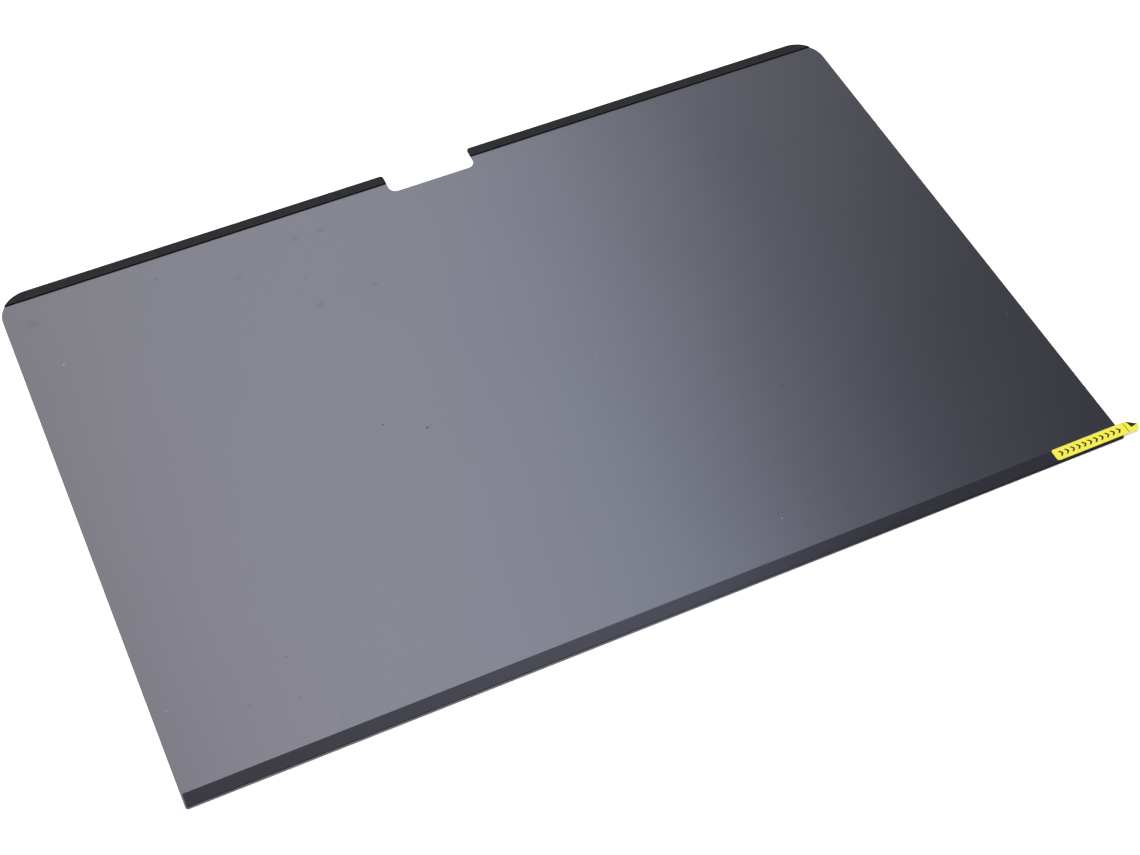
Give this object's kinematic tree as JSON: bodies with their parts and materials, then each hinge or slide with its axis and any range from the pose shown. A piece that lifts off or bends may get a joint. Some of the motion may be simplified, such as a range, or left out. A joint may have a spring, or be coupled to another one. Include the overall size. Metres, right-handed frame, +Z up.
{
  "type": "laptop anti-glare film",
  "caption": "Thin dark anti-glare film for a laptop screen, with a camera notch, magnet strips along its top edge and a lined adhesive strip with a pull tab along its bottom edge.",
  "frame": {"origin": "middle of the film's underside, the face it lies on", "axes": "+X to the right along the film's long side, +Y towards the edge with the camera notch, +Z up, out of the face that goes against the screen"},
  "size_m": [0.3553, 0.232, 0.0009],
  "materials": {
    "film": "satin dark plastic film",
    "magnet": "matte black flexible magnet",
    "adhesive": "black adhesive foam",
    "liner": "smooth dark release film",
    "tab": "yellow printed film"
  },
  "bodies": {
    "root": {"film_sheet": "film", "magnet_strip_left": "magnet", "magnet_strip_right": "magnet", "adhesive_strip": "adhesive", "strip_liner": "liner", "pull_tab": "tab"}
  },
  "joints": []
}
